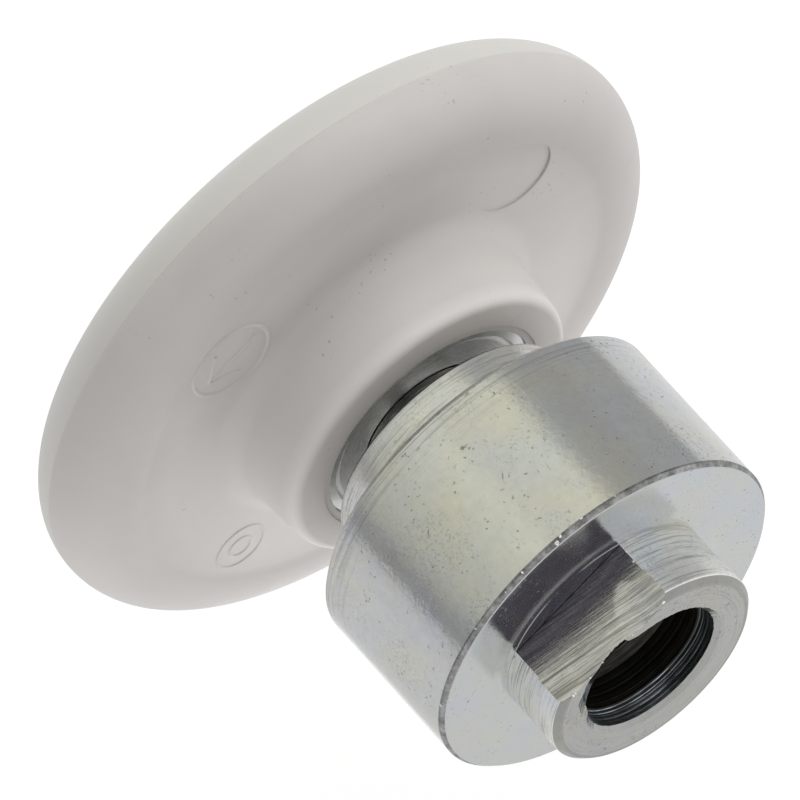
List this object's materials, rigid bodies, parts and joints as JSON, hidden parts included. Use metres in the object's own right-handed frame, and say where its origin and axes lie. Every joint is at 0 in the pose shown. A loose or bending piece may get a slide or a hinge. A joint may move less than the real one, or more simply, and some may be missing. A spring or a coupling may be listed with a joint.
{
  "type": "door hanger roller",
  "caption": "Round-rimmed moulded wheel on ball bearings, carried by a turned steel spacer with a tapped, flat-sided boss that locks in a door hanger plate.",
  "frame": {"origin": "on the wheel's axis, in the plane of the spacer's shoulder, where the shoulder seats on the hanger plate and the thread starts", "axes": "+Y along the axis from the boss to the wheel, +Z out of the boss's milled flat, +X to complete a right-handed frame"},
  "size_m": [0.06, 0.0468, 0.06],
  "materials": {
    "moulded_plastic": "satin, as moulded",
    "plated_steel": "turned and zinc plated",
    "bearing_steel": "ground",
    "ball_steel": "polished",
    "shield_sheet": "pressed sheet",
    "cage_sheet": "pressed sheet",
    "rivet_steel": "headed wire",
    "spring_steel": "phosphated"
  },
  "bodies": {
    "axle": {"spacer": "plated_steel", "retaining_ring": "spring_steel", "near_inner_ring": "bearing_steel", "far_inner_ring": "bearing_steel"},
    "wheel": {"wheel": "moulded_plastic", "near_outer_ring": "bearing_steel", "far_outer_ring": "bearing_steel", "near_front_shield": "shield_sheet", "near_back_shield": "shield_sheet", "far_front_shield": "shield_sheet", "far_back_shield": "shield_sheet"},
    "near_cage": {"near_front_cage": "cage_sheet", "near_back_cage": "cage_sheet", "near_cage_rivets": "rivet_steel", "near_ball_1": "ball_steel", "near_ball_2": "ball_steel", "near_ball_3": "ball_steel", "near_ball_4": "ball_steel", "near_ball_5": "ball_steel", "near_ball_6": "ball_steel", "near_ball_7": "ball_steel"},
    "far_cage": {"far_front_cage": "cage_sheet", "far_back_cage": "cage_sheet", "far_cage_rivets": "rivet_steel", "far_ball_1": "ball_steel", "far_ball_2": "ball_steel", "far_ball_3": "ball_steel", "far_ball_4": "ball_steel", "far_ball_5": "ball_steel", "far_ball_6": "ball_steel", "far_ball_7": "ball_steel"}
  },
  "joints": [
    {"name": "wheel_spin", "type": "hinge", "parent": "axle", "child": "wheel", "pos_m": [0, 0.0309, 0], "axis": [0, 1, 0], "continuous": true},
    {"name": "near_cage_spin", "type": "hinge", "parent": "axle", "child": "near_cage", "pos_m": [0, 0.0274, 0], "axis": [0, 1, 0], "continuous": true},
    {"name": "far_cage_spin", "type": "hinge", "parent": "axle", "child": "far_cage", "pos_m": [0, 0.0344, 0], "axis": [0, 1, 0], "continuous": true}
  ],
  "couplings": [
    {"joint": "near_cage_spin", "follows": "wheel_spin", "ratio": 0.6323},
    {"joint": "far_cage_spin", "follows": "wheel_spin", "ratio": 0.6323}
  ]
}
